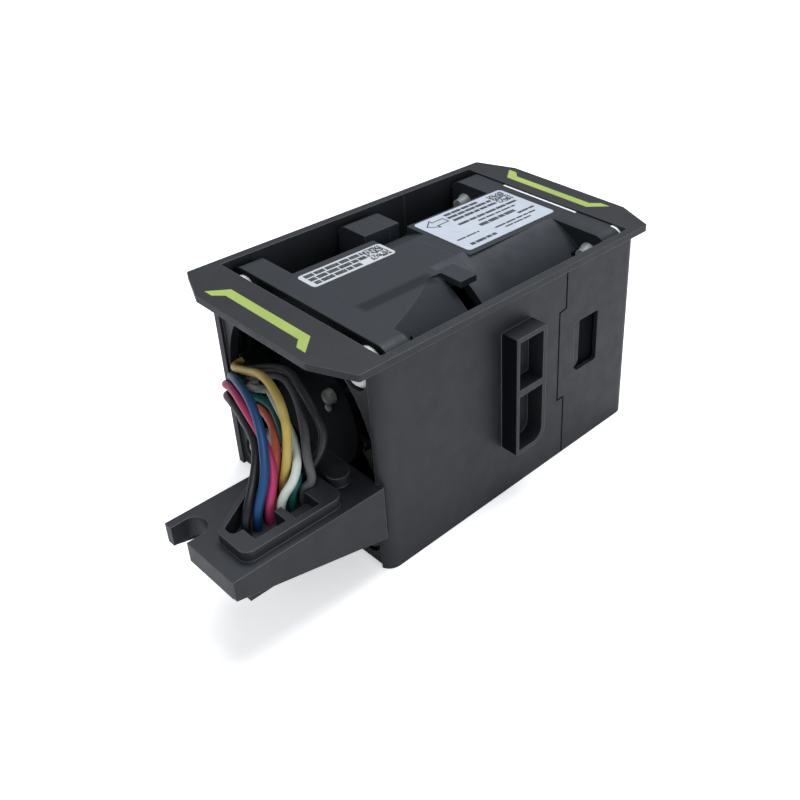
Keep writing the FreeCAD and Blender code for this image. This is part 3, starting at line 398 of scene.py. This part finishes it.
def foamMaterial(values):
    material, tree, shader = startMaterial("foamSeal")
    place = objectPlace(tree)
    cells = cellNode(tree, place, values["cellScale"])
    colour = rampNode(tree, cells, values["dark"], values["light"], values["stretch"])
    # painted shade along the top edge, in the listed stretches
    for low, high in values["paintedShadeStretches"]:
        colour = mixColour(tree, boxMask(tree, place, low, high), colour, values["paintedFoamShadeColour"])
    wireShader(tree, shader, colour, values["roughness"], bumpNode(tree, cells, values["bump"]))
    return material


# Printed film of the stickers, rubbed at its edges.
filmColours = {
    "ratingFilm": (0.45, 0.49, 0.535),
    "serialFilm": (0.50, 0.52, 0.52),
}
filmLook = {
    "cloudShade": 0.93,
    "cloudScale": 160.0,
    "edgeWidth": 0.00015,
    "edgeTurn": (0.98, 0.8),
    "edgeWearAndHighlight": 0.5,
    "edgeColour": (0.36, 0.38, 0.40),
    "glossScale": 700.0,
    "roughness": (0.26, 0.44),
    "rippleScale": 260.0,
    "bump": (0.12, 0.0001),
}


def filmMaterial(name, film, values):
    material, tree, shader = startMaterial(name)
    place = objectPlace(tree)
    cloud = noiseNode(tree, place, values["cloudScale"], detail=4.0)
    colour = rampNode(tree, cloud, shaded(film, values["cloudShade"]), film)
    facing, rounded = edgeFacing(tree, values["edgeWidth"])
    rubbed = rangeNode(tree, facing, values["edgeTurn"], (0.0, values["edgeWearAndHighlight"]))
    colour = mixColour(tree, rubbed, colour, values["edgeColour"])
    rough = rangeNode(tree, noiseNode(tree, place, values["glossScale"]), cloudRange, values["roughness"])
    ripple = noiseNode(tree, place, values["rippleScale"])
    wireShader(tree, shader, colour, rough, bumpNode(tree, ripple, values["bump"], rounded))
    return material


# Printing ink, a little broken up where it has rubbed.
inkLook = {
    "colour": (0.016, 0.019, 0.027),
    "rubbedColour": (0.35, 0.37, 0.40),
    "rubScale": 4200.0,
    "rubCut": (0.45, 0.75),
    "wear": 0.35,
    "roughness": 0.45,
}


def inkMaterial(values):
    material, tree, shader = startMaterial("darkInk")
    rub = noiseNode(tree, objectPlace(tree), values["rubScale"], detail=2.0)
    amount = rangeNode(tree, rub, values["rubCut"], (0.0, values["wear"]))
    wireShader(tree, shader, mixColour(tree, amount, values["colour"], values["rubbedColour"]),
               values["roughness"])
    return material


# Painted shadow of the seam: a near-black finish that sends hardly any light back.
seamShadowLook = {
    "dark": (0.0006, 0.0008, 0.0010),
    "light": (0.0014, 0.0016, 0.0020),
    "grainScale": 900.0,
    "roughness": 0.95,
    "specular": 0.02,
}


def seamShadowMaterial(values):
    material, tree, shader = startMaterial("paintedSeamShadow")
    grain = noiseNode(tree, objectPlace(tree), values["grainScale"], detail=2.0)
    wireShader(tree, shader, rampNode(tree, grain, values["dark"], values["light"]), values["roughness"])
    shader.inputs["Specular IOR Level"].default_value = values["specular"]
    return material


# Metals of the motors and the contacts, each brushed along its own direction.
metalBrush = {
    "brushScale": 5000.0,
    "bump": (0.2, 0.00002),
}
metalLooks = {
    "drawnSteel": {"light": (0.46, 0.46, 0.47), "dark": (0.36, 0.36, 0.37), "roughness": (0.29, 0.42),
                   "stretch": (1.0, 0.05, 1.0)},
    "groundSteel": {"light": (0.64, 0.64, 0.65), "dark": (0.55, 0.55, 0.56), "roughness": (0.13, 0.26),
                    "stretch": (0.05, 1.0, 0.05)},
    "springSteel": {"light": (0.52, 0.52, 0.53), "dark": (0.42, 0.42, 0.44), "roughness": (0.23, 0.36),
                    "stretch": (1.0, 1.0, 1.0)},
    "coreSteel": {"light": (0.38, 0.38, 0.39), "dark": (0.20, 0.20, 0.21), "roughness": (0.37, 0.50),
                  "stretch": (0.02, 1.6, 0.02)},
    "platedBrass": {"light": (0.80, 0.62, 0.30), "dark": (0.66, 0.50, 0.24), "roughness": (0.20, 0.33),
                    "stretch": (1.0, 1.0, 0.1)},
}


def metalMaterial(name, values):
    material, tree, shader = startMaterial(name)
    brush = noiseNode(tree, objectPlace(tree, values["stretch"]), values["brushScale"])
    colour = rampNode(tree, brush, values["dark"], values["light"])
    rough = rangeNode(tree, brush, cloudRange, values["roughness"])
    wireShader(tree, shader, colour, rough, bumpNode(tree, brush, values["bump"]))
    shader.inputs["Metallic"].default_value = 1.0
    return material


# Bonded ferrite of the rotor rings.
magnetLook = {
    "dark": (0.04, 0.04, 0.043),
    "light": (0.085, 0.085, 0.09),
    "gritScale": 4000.0,
    "roughness": 0.62,
    "bump": (0.4, 0.00004),
}


def magnetMaterial(values):
    material, tree, shader = startMaterial("bondedMagnet")
    grit = noiseNode(tree, objectPlace(tree), values["gritScale"], detail=4.0)
    colour = rampNode(tree, grit, values["dark"], values["light"])
    wireShader(tree, shader, colour, values["roughness"], bumpNode(tree, grit, values["bump"]))
    return material


# Enamelled wire wound round the teeth: fine turns stacked along the coil.
copperLook = {
    "dark": (0.30, 0.11, 0.04),
    "light": (0.74, 0.34, 0.14),
    "stretch": (0.1, 0.7),
    "turnScale": 900.0,
    "waver": 0.4,
    "metallic": 0.85,
    "roughness": 0.3,
    "bump": (0.6, 0.00006),
}


def copperMaterial(values):
    material, tree, shader = startMaterial("enamelledCopper")
    wave = addNode(tree, "ShaderNodeTexWave", bands_direction="DIAGONAL")
    setInputs(wave, Scale=values["turnScale"], Distortion=values["waver"])
    tree.links.new(objectPlace(tree), wave.inputs["Vector"])
    turns = wave.outputs["Fac"]
    colour = rampNode(tree, turns, values["dark"], values["light"], values["stretch"])
    wireShader(tree, shader, colour, values["roughness"], bumpNode(tree, turns, values["bump"]))
    shader.inputs["Metallic"].default_value = values["metallic"]
    return material


# Driver boards: copper traces under a green mask.
boardLook = {
    "trace": (0.05, 0.26, 0.10),
    "between": (0.02, 0.12, 0.05),
    "stretch": (0.05, 0.12),
    "traceScale": 900.0,
    "roughness": 0.35,
    "bump": (0.2, 0.00003),
}


def boardMaterial(values):
    material, tree, shader = startMaterial("circuitBoard")
    traces = cellNode(tree, objectPlace(tree), values["traceScale"], "DISTANCE_TO_EDGE")
    colour = rampNode(tree, traces, values["trace"], values["between"], values["stretch"])
    wireShader(tree, shader, colour, values["roughness"], bumpNode(tree, traces, values["bump"]))
    return material


# Extruded lead insulation: even colour with drawn streaks and a soft shine.
leadColours = {
    "lead_black_outer": (0.0075, 0.0085, 0.010),
    "lead_black_inner": (0.010, 0.010, 0.013),
    "lead_magenta": (0.43, 0.033, 0.12),
    "lead_blue": (0.007, 0.056, 0.155),
    "lead_orange": (0.78, 0.185, 0.108),
    "lead_teal": (0.007, 0.105, 0.095),
    "lead_yellow": (0.48, 0.36, 0.085),
    "lead_white": (0.62, 0.68, 0.60),
    "lead_grey": (0.095, 0.097, 0.101),
    "lead_charcoal": (0.020, 0.021, 0.023),
}
insulationLook = {
    "streakShade": 0.82,
    "streakScale": 420.0,
    "stretch": (0.3, 0.72),
    "roughness": (0.40, 0.52),
    "specular": 0.28,
    "skinScale": 2600.0,
    "bump": (0.12, 0.00003),
}


def insulationMaterial(name, insulation, values):
    material, tree, shader = startMaterial(name)
    place = objectPlace(tree)
    streak = noiseNode(tree, place, values["streakScale"])
    colour = rampNode(tree, streak, shaded(insulation, values["streakShade"]), insulation, values["stretch"])
    rough = rangeNode(tree, streak, cloudRange, values["roughness"])
    skin = noiseNode(tree, place, values["skinScale"])
    wireShader(tree, shader, colour, rough, bumpNode(tree, skin, values["bump"]))
    shader.inputs["Specular IOR Level"].default_value = values["specular"]
    return material


materials = {
    "sleeve": mouldedPlastic("sleevePlastic", sleevePlastic),
    "fan": mouldedPlastic("fanPlastic", fanPlastic),
    "rotor": mouldedPlastic("rotorPlastic", rotorPlastic),
    "connector": mouldedPlastic("connectorPlastic", connectorPlastic),
    "lime": mouldedPlastic("limePlastic", limePlastic),
    "stud": mouldedPlastic("studPlastic", studPlastic),
    "silicone": siliconeMaterial(siliconeLook),
    "foam": foamMaterial(foamLook),
    "ink": inkMaterial(inkLook),
    "seam": seamShadowMaterial(seamShadowLook),
    "magnet": magnetMaterial(magnetLook),
    "copper": copperMaterial(copperLook),
    "board": boardMaterial(boardLook),
}
for film, filmColour in filmColours.items():
    materials[film] = filmMaterial(film, filmColour, filmLook)
for metal, metalValues in metalLooks.items():
    materials[metal] = metalMaterial(metal, dict(metalBrush, **metalValues))
for lead, leadColour in leadColours.items():
    materials[lead] = insulationMaterial(lead + "Insulation", leadColour, insulationLook)
print("materials made")

# Which finish each node of the frame carries, by the first of these words found in its name.
finishByWord = [
    ("_shell", "sleeve"), ("_stripe", "lime"), ("_fan_frame", "fan"), ("_impeller", "rotor"),
    ("_isolators", "silicone"), ("gasket", "foam"), ("rating_label", "ratingFilm"),
    ("serial_label", "serialFilm"), ("connector_housing", "connector"), ("contacts", "platedBrass"),
    ("yoke", "drawnSteel"), ("magnet", "magnet"), ("_shaft", "groundSteel"), ("bearing", "groundSteel"),
    ("clip", "springSteel"), ("spring", "springSteel"), ("stator_core", "coreSteel"),
    ("windings", "copper"), ("board", "board"),
]


def dressNode(name, node):
    for word, finish in finishByWord + [(lead, lead) for lead in leadColours]:
        if word in name:
            node.data.materials.clear()
            node.data.materials.append(materials[finish])
            return


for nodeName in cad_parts:
    dressNode(nodeName, bpy.data.objects[nodeName])
print("nodes dressed")


def newPiece(name, mesh, material, body):
    piece = bpy.data.objects.new(name, mesh)
    scene.collection.objects.link(piece)
    piece.data.materials.append(material)
    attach(piece, body)
    return piece


# The ten leads, in millimetres. Heights and widths are the shared frame's; depths start at the sleeve's
# flat front.
leadDrawing = {
    "frontPlane": -20.8,       # the sleeve's flat front in the shared frame
    "diameter": 1.4,
    "straight": 2.6,           # each lead leaves its exit and enters the connector straight
    "exitFirst": (-18.0, 17.1),
    "exitPitch": 1.8,
    "exitPlane": 2.2,
    "contactColumns": (11.3, 13.3),
    "contactFirst": -19.0,
    "contactPitch": 2.0,
    "housingTop": 16.2,
    "order": 3,
    "steps": 12,
    "roundness": 6,
}

# Column and row of the exit, column and row of the contact, and the points between.
leadRoutes = {
    "lead_black_outer": ((0, 0), (1, 0), [(-15.5, -3.4, 19.4), (-10.1, -5.3, 21.6),
                                          (-3.2, -7.4, 22.6), (4.1, -9.9, 22.6), (9.5, -14.3, 21.6)]),
    "lead_black_inner": ((1, 0), (0, 2), [(-13.4, -2.6, 15.7), (-8.9, -4.1, 16.6),
                                          (-3.2, -6.4, 19.7), (2.9, -9.5, 21), (8.1, -12.7, 20.4)]),
    "lead_magenta": ((0, 1), (1, 2), [(-15.8, -3.2, 21.5), (-10.1, -4.7, 23.9),
                                      (-2.8, -7.1, 24.6), (4.8, -9, 23.7), (10.8, -11.5, 21.7)]),
    "lead_blue": ((0, 2), (1, 1), [(-14.2, -2.4, 23.3), (-8.5, -4.6, 26.1),
                                   (-1.2, -6.9, 27.3), (6, -9.8, 25.9), (11.4, -13.4, 22.5)]),
    "lead_orange": ((1, 1), (0, 3), [(-12.4, -3.6, 17.5), (-9.1, -1.4, 19.3),
                                     (-3.6, -2.5, 19.8), (2.8, -5.8, 21.1), (8.2, -9.4, 21.2)]),
    "lead_teal": ((1, 2), (1, 4), [(-14.1, -1.2, 19.5), (-6.3, -0.4, 20.8),
                                   (1.6, -3.9, 21.9), (8, -7.2, 21.8), (13, -8.7, 20.8)]),
    "lead_yellow": ((0, 3), (0, 4), [(-10, -1.7, 25.9), (-2.3, -3.4, 29.7),
                                     (4.7, -5.4, 29.9), (9.5, -7.5, 27.3), (11.5, -9.7, 23.1)]),
    "lead_white": ((2, 1.5), (1, 3), [(-11.3, 2.5, 19.5), (-6.6, 0, 22.3),
                                      (1.2, -3.1, 23.3), (9.1, -6.2, 23.4), (13.9, -9.7, 22)]),
    "lead_grey": ((2, 2.5), (1, 5), [(-7.6, 3, 24.6), (0.6, 0.3, 25.3),
                                     (8, -3.7, 25), (12.9, -7.1, 23.2), (14.8, -7.6, 20.2)]),
    "lead_charcoal": ((1, 3), (0, 5), [(-5.1, 2.5, 27.3), (3.3, -0.4, 28.3),
                                       (8.8, -2, 27.2), (12, -2.7, 24.5), (12.4, -5.3, 21.2)]),
}


def leadPoints(values, exitPlace, contactPlace, between):
    x = values["exitFirst"][0] + exitPlace[0] * values["exitPitch"]
    z = values["exitFirst"][1] + exitPlace[1] * values["exitPitch"]
    start = [(x, values["exitPlane"], z), (x, values["exitPlane"] - values["straight"], z)]
    x = values["contactColumns"][contactPlace[0]]
    y = values["contactFirst"] + contactPlace[1] * values["contactPitch"]
    end = [(x, y, values["housingTop"] + values["straight"]), (x, y, values["housingTop"])]
    return [Vector((px, py + values["frontPlane"], pz)) * millimetre for px, py, pz in start + between + end]


def drawLead(name, points, values):
    curve = bpy.data.curves.new(name + "Line", "CURVE")
    curve.dimensions = "3D"
    spline = curve.splines.new("NURBS")
    spline.points.add(len(points) - 1)
    for point, place in zip(spline.points, points):
        point.co = (*place, 1.0)
    spline.order_u = values["order"]
    spline.use_endpoint_u = True
    spline.resolution_u = values["steps"]
    curve.bevel_depth = values["diameter"] / 2 * millimetre
    curve.bevel_resolution = values["roundness"]
    curve.use_fill_caps = True
    piece = newPiece(name + "Insulated", curve, materials[name], "root")
    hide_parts(name)


for leadName, (exitPlace, contactPlace, between) in leadRoutes.items():
    drawLead(leadName, leadPoints(leadDrawing, exitPlace, contactPlace, between), leadDrawing)
print("leads drawn")


# Lamps, world and floor.
lightSetup = {
    "aim": (0.0, 0.0, 0.02),
    "lampColour": (0.94, 0.975, 1.05),
    # name, place, size, watts
    "lamps": [
        ("overhead", (-0.05, 0.16, 0.62), 0.55, 4.8),
        ("rightWindow", (0.62, -0.05, 0.16), 0.40, 1.75),
        ("frontFill", (0.10, -0.62, 0.30), 0.50, 1.15),
    ],
    "world": 0.30,
    "background": 1.0,         # white behind the object
}
floorLook = {
    "reach": 3.0,              # half of its side
    "colour": (0.86, 0.86, 0.86),
    "roughness": 0.95,
    "glow": 0.48,              # added for the camera alone
}


def hangLamp(name, place, size, watts, values):
    data = bpy.data.lights.new(name, "AREA")
    data.shape = "DISK"
    data.size = size
    data.energy = watts
    data.color = values["lampColour"]
    lamp = bpy.data.objects.new(name, data)
    lamp.location = place
    direction = Vector(values["aim"]) - lamp.location
    lamp.rotation_euler = direction.to_track_quat("-Z", "Y").to_euler()
    scene.collection.objects.link(lamp)


# The camera sees a white background, and the object is lit at the plain level.
def lightWorld(values):
    world = bpy.data.worlds.new("studioWorld")
    scene.world = world
    world.use_nodes = True
    tree = world.node_tree
    background = tree.nodes["Background"]
    background.inputs["Color"].default_value = (1.0, 1.0, 1.0, 1.0)
    path = addNode(tree, "ShaderNodeLightPath")
    seen = mathNode(tree, "MAXIMUM", path.outputs["Is Camera Ray"], path.outputs["Is Transmission Ray"])
    level = rangeNode(tree, seen, (0.0, 1.0), (values["world"], values["background"]))
    tree.links.new(level, background.inputs["Strength"])


def layFloor(values):
    mesh = bpy.data.meshes.new("paleFloor")
    reach = values["reach"]
    ends = ((-reach, -reach), (reach, -reach), (reach, reach), (-reach, reach))
    corners = [(x, y, cadBox[0][2]) for x, y in ends]
    mesh.from_pydata(corners, [], [(0, 1, 2, 3)])
    floor = bpy.data.objects.new("paleFloor", mesh)
    scene.collection.objects.link(floor)
    material, tree, shader = startMaterial("floorPaint")
    shader.inputs["Base Color"].default_value = (*values["colour"], 1.0)
    shader.inputs["Roughness"].default_value = values["roughness"]
    shader.inputs["Specular IOR Level"].default_value = 0.0
    glow = addNode(tree, "ShaderNodeEmission")
    path = addNode(tree, "ShaderNodeLightPath")
    level = rangeNode(tree, path.outputs["Is Camera Ray"], (0.0, 1.0), (0.0, values["glow"]))
    tree.links.new(level, glow.inputs["Strength"])
    both = addNode(tree, "ShaderNodeAddShader")
    tree.links.new(shader.outputs["BSDF"], both.inputs[0])
    tree.links.new(glow.outputs["Emission"], both.inputs[1])
    tree.links.new(both.outputs["Shader"], tree.nodes["Material Output"].inputs["Surface"])
    mesh.materials.append(material)


for lampName, lampPlace, lampSize, lampWatts in lightSetup["lamps"]:
    hangLamp(lampName, lampPlace, lampSize, lampWatts, lightSetup)
lightWorld(lightSetup)
layFloor(floorLook)
scene.view_settings.view_transform = "Standard"
print("light and floor set")


# Small solids for ink and gaps, all in millimetres.
def addPrism(builder, lower, upper):
    first = [builder.verts.new(Vector(place) * millimetre) for place in lower]
    second = [builder.verts.new(Vector(place) * millimetre) for place in upper]
    builder.faces.new(first[::-1])
    builder.faces.new(second)
    for i in range(len(first)):
        j = (i + 1) % len(first)
        builder.faces.new([first[i], first[j], second[j], second[i]])


# Corners of a straight stroke that runs half its width past both ends.
def strokeOutline(start, end, width):
    along = (end - start).normalized() * width / 2
    side = Vector((-along.y, along.x))
    return [start - along + side, start - along - side, end + along - side, end + along + side]


def finishMesh(builder, name):
    mesh = bpy.data.meshes.new(name)
    builder.to_mesh(mesh)
    builder.free()
    return mesh


# Printing on the stickers, in millimetres from a sticker's corner: across it, then along it.
printing = {
    "inkHeight": 0.03,
    "inkSink": 0.01,
    "wordGap": 0.26,
    "wordLengths": (1.0, 2.8),
    "shortestWord": 0.4,
    "codeCells": 16,
    "codeFill": 0.55,          # share of dark cells
    "arrowStroke": 0.22,
}
serialPrint = {
    # place, length and height of each row
    "rows": [(0.55, 0.9, 12.0, 1.0), (1.95, 0.9, 12.0, 1.0), (3.35, 1.0, 9.6, 1.0)],
    "code": (0.45, 12.9, 4.0),
    "arrow": [],
}
ratingPrint = {
    "rows": [
        (0.8, 6.8, 8.6, 0.75), (2.1, 6.5, 11.4, 0.75), (3.5, 6.6, 11.6, 0.75), (5.5, 6.0, 15.6, 0.7),
        (7.0, 9.8, 9.8, 0.45), (8.3, 8.6, 9.6, 0.95), (9.8, 17.4, 4.4, 0.6), (10.2, 1.3, 5.4, 0.4),
        (11.3, 9.8, 11.4, 0.45), (12.4, 11.4, 7.4, 0.4), (12.8, 1.9, 6.4, 0.75),
    ],
    "code": (0.8, 18.2, 4.0),
    "arrow": [(2.6, 1.2), (1.0, 3.1), (1.8, 3.1), (1.8, 5.8), (3.4, 5.8), (3.4, 3.1), (4.2, 3.1)],
}


def inkPatch(builder, outline, top, values):
    addPrism(builder, [(x, y, top - values["inkSink"]) for x, y in outline],
             [(x, y, top + values["inkHeight"]) for x, y in outline])


def inkBar(builder, x, y, height, length, top, values):
    outline = [(x, y), (x + height, y), (x + height, y + length), (x, y + length)]
    inkPatch(builder, outline, top, values)


# A row of plain word-length dashes.
def wordLine(builder, x, y, length, height, top, values):
    end = y + length
    while y < end - values["shortestWord"]:
        word = min(random.uniform(*values["wordLengths"]), end - y)
        inkBar(builder, x, y, height, word, top, values)
        y += word + values["wordGap"]


def codePatch(builder, x, y, size, top, values):
    cell = size / values["codeCells"]
    for row in range(values["codeCells"]):
        for column in range(values["codeCells"]):
            if random.random() < values["codeFill"]:
                inkBar(builder, x + row * cell, y + column * cell, cell, cell, top, values)


def printSticker(name, label, layout, values):
    low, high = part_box(label)
    left, near, top = (edge / millimetre for edge in (low[0], low[1], high[2]))
    builder = bmesh.new()
    for across, along, length, height in layout["rows"]:
        wordLine(builder, left + across, near + along, length, height, top, values)
    across, along, size = layout["code"]
    codePatch(builder, left + across, near + along, size, top, values)
    arrow = [Vector((left + across, near + along)) for across, along in layout["arrow"]]
    for start, end in zip(arrow, arrow[1:] + arrow[:1]):
        inkPatch(builder, strokeOutline(start, end, values["arrowStroke"]), top, values)
    newPiece(name, finishMesh(builder, name), materials["ink"], "root")


printSticker("serialPrint", "serial_label", serialPrint, printing)
printSticker("ratingPrint", "rating_label", ratingPrint, printing)
print("stickers printed")


# Shadow line along the stepped seam between the two shells, on both side walls, in millimetres.
seamLine = {
    "wallFace": 21.4,
    "width": 0.30,
    "height": 0.012,
    "sink": 0.02,
    # Y and Z of the seam's bends, up the wall
    "bends": [(22.16, 0.2), (22.16, 12.9), (20.46, 12.9), (20.46, 31.45), (22.16, 31.8), (22.16, 39.35)],
}


def drawSeam(values):
    builder = bmesh.new()
    bends = [Vector(bend) for bend in values["bends"]]
    for side in (-1, 1):
        inner = side * (values["wallFace"] - values["sink"])
        outer = side * (values["wallFace"] + values["height"])
        for start, end in zip(bends, bends[1:]):
            outline = strokeOutline(start, end, values["width"])
            addPrism(builder, [(inner, y, z) for y, z in outline], [(outer, y, z) for y, z in outline])
    bmesh.ops.recalc_face_normals(builder, faces=builder.faces)
    newPiece("seamShadow", finishMesh(builder, "seamShadow"), materials["seam"], "root")


drawSeam(seamLine)
print("seam drawn")


# Two moulded studs on the front motor base, seen beside the leads, in millimetres.
baseStuds = {
    "basePlane": -16.65,
    "sink": 0.15,
    "segments": 40,
    # name, X and Z of the centre, then steps of distance ahead of the base and radius
    "studs": [
        ("baseStudRound", (4.8, 25.2), [(0.0, 1.35), (0.9, 1.30), (1.25, 1.12), (1.45, 0.75), (1.5, 0.0)]),
        ("baseStudLow", (3.7, 22.3), [(0.0, 0.75), (0.35, 0.72), (0.5, 0.5), (0.52, 0.0)]),
    ],
}


# A ring of corners round the stud's axis, or one point at its tip.
def studRing(builder, centre, reach, radius, values):
    y = values["basePlane"] - reach
    ring = []
    for i in range(values["segments"] if radius else 1):
        angle = 2 * math.pi * i / values["segments"]
        corner = Vector((centre[0] + radius * math.cos(angle), y, centre[1] + radius * math.sin(angle)))
        ring.append(builder.verts.new(corner * millimetre))
    return ring


def turnStud(name, centre, steps, values):
    builder = bmesh.new()
    foot = (-values["sink"], steps[0][1])
    rings = [studRing(builder, centre, reach, radius, values) for reach, radius in [foot] + steps]
    builder.faces.new(rings[0])
    for first, second in zip(rings, rings[1:]):
        for i in range(len(first)):
            j = (i + 1) % len(first)
            if len(second) == 1:
                builder.faces.new([first[i], first[j], second[0]])
            else:
                builder.faces.new([first[i], first[j], second[j], second[i]])
    bmesh.ops.recalc_face_normals(builder, faces=builder.faces)
    for face in builder.faces:
        face.smooth = len(face.verts) < 5      # all but the flat foot
    newPiece(name, finishMesh(builder, name), materials["stud"], "root")


for studName, studCentre, studSteps in baseStuds["studs"]:
    turnStud(studName, studCentre, studSteps, baseStuds)
print("motor base studs made")
